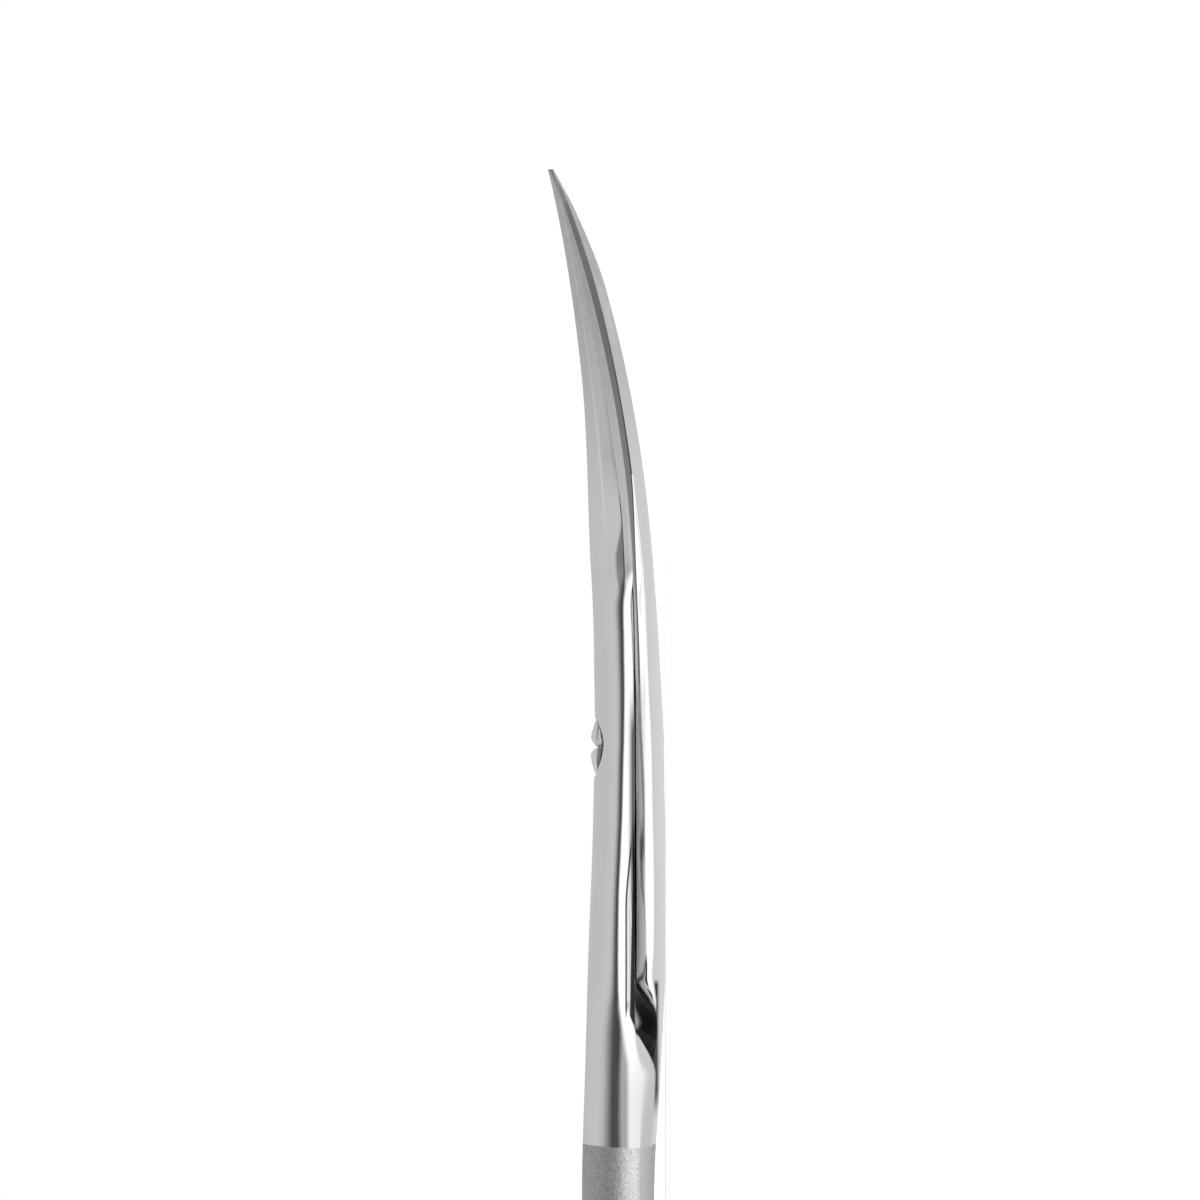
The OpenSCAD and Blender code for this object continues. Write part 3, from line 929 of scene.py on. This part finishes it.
def upperShadeAndHighlight(x, y, z, depth, satin):
    # painted shade and a painted highlight on the upper half: places that are darker or lighter, by
    # how much, and places that are rougher
    # painted shadow: a dark line along the upper half's near edge where it overhangs the lower half
    rim = x.above(-4.4, -8.0) * 0.24 + 0.19
    overhangShadow = (depth - rim).within(-0.06, -0.02, 0.03, 0.07) * y.below(-2.8, -2.4)
    overhangShadow = overhangShadow * x.within(lapX - 0.4, lapX + 0.2, -5.2, -4.4)
    # painted shade on the low edge of the upper half next to the joint
    lowEdgeShade = depth.within(0.02, 0.06, 0.08, 0.4) * x.within(-6.5, -4.5, 0.5, 3.5)
    # painted shade on the shank under its bright line
    swoop = z - (x * 0.16 + 4.25).maths("MAXIMUM", 1.72)
    shankShade = x.below(-13.7, -12.9) * swoop.above(0, 0.3) * z.below(2.3, 2.5) * (1 - satin)
    # painted shade low down on the shank, just in front of the satin line
    bellyShade = x.below(-17.6, -15) * z.below(1.9, 2.3) * (1 - satin)
    soft = x.below(-15.4, -13.8) * z.below(1.5, 1.9) * (1 - satin)
    # painted shade on the strip that looks into the gap between the halves, wider towards the
    # shoulder
    limit = (0 - x - 7).maths("MAXIMUM", 0) * 0.019 + 0.13
    limit = limit.maths("MINIMUM", (x + 13.4) * 0.48 + 0.24)
    gap = depth.above(0.009, 0.013).maths("MAXIMUM", x.below(-12.8, -12.6))
    gap = gap * (depth - limit).below(-0.02, 0.01)
    gap = gap * (1 - y.above(-2.4, -2) * x.above(-13.0, -12.6))
    gap = gap * x.within(-14.35, -14.25, -5.5, -3)
    # painted highlight along the ridge of the blade
    d = x - 12.9
    ridge = (z - 3.14 - d * 0.078 - d * d * 0.0047).maths("ABSOLUTE").below(0.015, 0.05)
    ridge = ridge * x.above(9.5, 12.5) * y.below(0.2, 0.6)
    recessRadius = headRadius + screw["headClear"]
    # painted shade in the round recess under the screw's head
    recess = ((x * x + y * y) ** 0.5).below(recessRadius - 0.01, recessRadius + 0.01)
    inner = y.above(-3.4, -2.8)
    darker = [(overhangShadow, 0.93), (lowEdgeShade, 0.9), (shankShade, 0.6), (bellyShade, 0.14), (gap, 0.95),
              (ridge, -0.18), (recess, steel["recessShade"])]
    return inner, darker, [(soft, 0.16), (gap, 0.6)]


def lowerGrindAndShade(x, y, z, depth, streaks):
    # on the lower half the wide bevel next to the upper half is ground, not polished: darker in
    # streaks, partly its ground finish and partly painted shade under the upper half
    bevel = depth.within(0.03, 0.06, 0.48, 0.56) * y.below(-0.3, 0.3)
    bevel = bevel * x.within(-12.6, -12.2, 2, 5)
    # painted shade on the lower half just under the upper half's near edge, behind the joint
    under = depth.below(0.04, 0.13) * y.below(-0.3, 0.3) * x.below(-7, -2)
    under = under * x.above(lapX - 0.5, lapX)
    # the hollow inside the shoulder, behind its lip
    lip = (x * -0.8125 - 10.26).maths("MINIMUM", 0.1)
    over = (z - x * 0.48 - 7.08).above(0, 0.08) * (y - lip).above(-0.25, -0.05)
    inner = (y - lip).above(0.05, 0.3).maths("MAXIMUM", over) * y.below(2.4, 3.0)
    return inner, [(bevel, streaks * 0.4 - 0.08), (under, 0.75)], [(bevel, 0.3)]


def steelMaterial(name, side):
    material, make = newMaterial(name)
    spot, x, y, z = coordinates(make)
    depth = (z - splitZ) * side
    long = make("ShaderNodeMapping", None, {"Vector": spot, "Scale": (900, 16000, 16000)})
    streaks = noise(make, long, 1.0, 5.0, 0.6)
    grain = noise(make, spot, 1 / (steel["grainSize"] * mm), 4.0, 0.65)
    cloud = noise(make, spot, 900.0, 3.0)
    mottle = noise(make, spot, 1900.0, 4.0, 0.7)
    # the satin starts at a slightly hollow line, and painted shade makes it darker high up and low
    # down
    dip = (z - 1.96) / 1.4
    satinLine = steel["satinFrom"] + dip * dip * 0.07 + (grain - 0.5) * 0.05
    satin = (x - satinLine).below(-0.025, 0.025)
    satinTone = steel["satinGrey"] * (0.78 + grain.above(0.3, 0.68) * 0.4)
    satinTone = satinTone * (1 - z.above(1.9, 2.6) * 0.25) * (0.8 + z.above(0.5, 1.1) * 0.2)
    if side > 0:
        inner, darker, rougher = upperShadeAndHighlight(x, y, z, depth, satin)
    else:
        inner, darker, rougher = lowerGrindAndShade(x, y, z, depth, streaks)
    # painted shade between the halves, at the edges of the flats and inside the shoulder; the
    # ground flats themselves are darker partly for their duller finish and partly as painted shade
    between = depth.below(0.045, 0.075) * x.within(lapX - 2, lapX + 0.3, 2.0, 6.0)
    facing = axes(make, make("ShaderNodeTexCoord", None, None, "Normal"))[2]
    flat = facing.maths("ABSOLUTE").above(0.93, 0.99)
    # painted shade in the hollow inside the shoulder, a touch deeper in front of a slanting line
    # across it
    hiddenShade = inner * z.within(0.25, 0.45, 1.9, 2.2)
    hiddenShade = hiddenShade * x.within(shoulderX - 2.2, shoulderX - 0.4, lapX + 1.3, lapX + 1.7)
    deep = (x - z * 0.746 + 15.0).above(-0.06, 0.06)
    brushed = x.above(steel["brushedFrom"], steel["brushedTo"])
    tip = x.above(size["bladeReach"] - 0.07, size["bladeReach"] - 0.02)
    darker += [
        (between * (1 - flat), steel["upperLipShade" if side > 0 else "lowerLipShade"]),
        (between * flat, steel["flatDullAndShade"]),
        (hiddenShade, 0.94 + deep * 0.04),
        (brushed, 0.12 + mottle * 0.32),
        (tip, steel["tipDark"]),
    ]
    rougher.append((hiddenShade, 0.6))
    tone = mixNumber(steel["polishedGrey"] * 0.985 + streaks * 0.03, satinTone, satin)
    for mask, share in darker:
        tone = tone * (1 - mask * share)
    polishedRough = steel["polishedRough"] - 0.02 + cloud * 0.03 + streaks * 0.02
    rough = mixNumber(polishedRough, steel["satinRough"] - 0.08 + grain * 0.16, satin)
    for mask, share in rougher:
        rough = rough + mask * share
    colour = make("ShaderNodeCombineColor", None, {0: tone, 1: tone * 1.002, 2: tone * 1.008})
    bump = make("ShaderNodeBump", None, {"Strength": 0.05, "Distance": 0.00002, "Height": streaks})
    bump = make("ShaderNodeBump", None, {
        "Strength": satin * 0.7, "Distance": 0.00004, "Height": grain, "Normal": bump,
    })
    finishSteel(make, colour, rough, bump)
    return material


def finishSteel(make, colour, rough, bump):
    shader = make("ShaderNodeBsdfPrincipled", None, {
        "Base Color": colour, "Metallic": 1.0, "Roughness": rough, "Normal": bump,
    })
    make("ShaderNodeOutputMaterial", None, {"Surface": shader})


def screwMaterial():
    material, make = newMaterial("screwSteel")
    spot, x, y, z = coordinates(make)
    worn = noise(make, spot, 2600.0, 5.0, 0.6)
    fine = noise(make, spot, 9000.0, 3.0)
    frontSide = x.above(0.05, 0.25)    # the half of the head in front of the slot is more worn
    rim = ((x * x + y * y) ** 0.5).above(headRadius - 0.02, headRadius - 0.005)
    tone = 0.86 - worn * 0.12 * frontSide + fine * 0.04
    # painted shade round the edge of the head where it sits in its recess, patchy on the worn front
    # half
    tone = tone * (1 - rim * mixNumber(0.84, 0.1 + worn * 0.9, frontSide))
    colour = make("ShaderNodeCombineColor", None, {0: tone, 1: tone, 2: tone * 1.005})
    rough = 0.1 + worn * 0.16 * frontSide + fine * 0.05
    bump = make("ShaderNodeBump", None, {
        "Strength": frontSide * 0.5 + 0.05, "Distance": 0.00006, "Height": worn,
    })
    finishSteel(make, colour, rough, bump)
    return material


upper = makeHalf("upperHalfSteel", 1)
lower = makeHalf("lowerHalfSteel", -1)
pivotScrew = makeScrew()
for piece, material, node, body, slot in (
    (upper, steelMaterial("upperSteel", 1), "upper_half", "upper", "blade_steel"),
    (lower, steelMaterial("lowerSteel", -1), "lower_half", "lower", "blade_steel"),
    (pivotScrew, screwMaterial(), "pivot_screw", "lower", "screw_steel"),
):
    piece.data.materials.clear()
    piece.data.materials.append(material)
    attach(piece, body)
    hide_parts(node)

# Light around the scissors. The ramp runs once round the long axis: from straight behind, down
# under the object, up past the camera and over the top, as in a light tent with one dark gap.
studio = {
    "tent": [
        (0.0, 0.76), (0.155, 0.76), (0.185, 1.3), (0.615, 1.3), (0.632, 0.6), (0.648, 0.1),
        (0.68, 0.08), (0.70, 0.22), (0.722, 0.43), (0.74, 0.6), (0.765, 0.68), (0.8, 0.67),
        (0.86, 0.63), (0.93, 0.6), (1.0, 0.585),
    ],
    "frontGrey": 0.64,
    "underGrey": 0.76,
    "lampStrength": 1.9,
    "lampAngle": 50,
    "lampFrom": (0.1, -0.45, 1),
    "floorGrey": 0.85,
    "lens": 900.0,
    "frameWidth": 60,                # millimetres of the object across the picture
    "frameCentre": (7.375, 3.265),   # in the middle of the picture, along and up
}


def makeWorld():
    world = bpy.data.worlds.new("studio")
    world.use_nodes = True
    world.node_tree.nodes.clear()
    make = nodeMaker(world.node_tree)
    x, y, z = axes(make, make("ShaderNodeTexCoord", None, None, "Generated"))
    around = z.maths("ARCTAN2", 0 - y) / (2 * math.pi) + 0.5
    tent = make("ShaderNodeValToRGB", {"stops": studio["tent"]}, {0: around})
    tent = make("ShaderNodeRGBToBW", None, {0: tent})
    # the ends of the tent are plain grey
    backEnd = around.above(0.64, 0.66) * 0.2 + around.above(0.69, 0.75) * 0.2
    tent = mixNumber(tent, studio["frontGrey"], (0 - x).above(0.03, 0.2) * backEnd)
    tent = mixNumber(tent, studio["underGrey"], x.above(0.12, 0.38) * around.below(0.4, 0.46))
    seen = make("ShaderNodeLightPath", None, None, "Is Camera Ray")
    inputs = {0: seen, 6: tent, 7: (1, 1, 1, 1)}
    shade = make("ShaderNodeMix", {"data_type": "RGBA"}, inputs, 2)
    sky = make("ShaderNodeBackground", None, {0: shade, 1: 1.0})
    make("ShaderNodeOutputWorld", None, {"Surface": sky})
    bpy.context.scene.world = world


def makeFloor():
    deselectAll()
    bpy.ops.mesh.primitive_plane_add(size=24, location=(0, 0, -0.00001))
    floor = bpy.context.active_object
    floor.name = "floor"
    bpy.ops.object.transform_apply(location=True, rotation=True, scale=True)
    floor.visible_glossy = False
    material, make = newMaterial("floorWhite")
    seen = make("ShaderNodeLightPath", None, None, "Is Camera Ray")
    grey = seen * (1.0 - studio["floorGrey"]) + studio["floorGrey"]
    colour = make("ShaderNodeCombineColor", None, {0: grey, 1: grey, 2: grey})
    shader = make("ShaderNodeBsdfPrincipled", None, {
        "Base Color": colour, "Roughness": 0.9, "Specular IOR Level": 0.0,
    })
    make("ShaderNodeOutputMaterial", None, {"Surface": shader})
    floor.data.materials.append(material)


def makeLamp():
    lamp = bpy.data.lights.new("softbox", "SUN")
    lamp.angle = math.radians(studio["lampAngle"])
    lamp.energy = studio["lampStrength"]
    holder = bpy.data.objects.new("softbox", lamp)
    bpy.context.collection.objects.link(holder)
    holder.rotation_euler = Vector(studio["lampFrom"]).to_track_quat("Z", "Y").to_euler()
    holder.visible_glossy = False


def makeCamera():
    # looks along +Y with +X at the top of the picture, through a long lens
    camera = bpy.data.cameras.new("camera")
    camera.lens = studio["lens"]
    camera.clip_start = 0.05
    holder = bpy.data.objects.new("camera", camera)
    bpy.context.collection.objects.link(holder)
    along, up = studio["frameCentre"]
    far = studio["frameWidth"] * mm * camera.lens / camera.sensor_width
    holder.location = (along * mm, -far, up * mm)
    turn = Matrix(((0, 0, -1), (1, 0, 0), (0, -1, 0))).transposed()
    holder.rotation_euler = turn.to_euler()
    bpy.context.scene.camera = holder


makeWorld()
makeFloor()
makeLamp()
makeCamera()
bpy.context.scene.view_settings.view_transform = "Standard"
print("scene: studio ready")
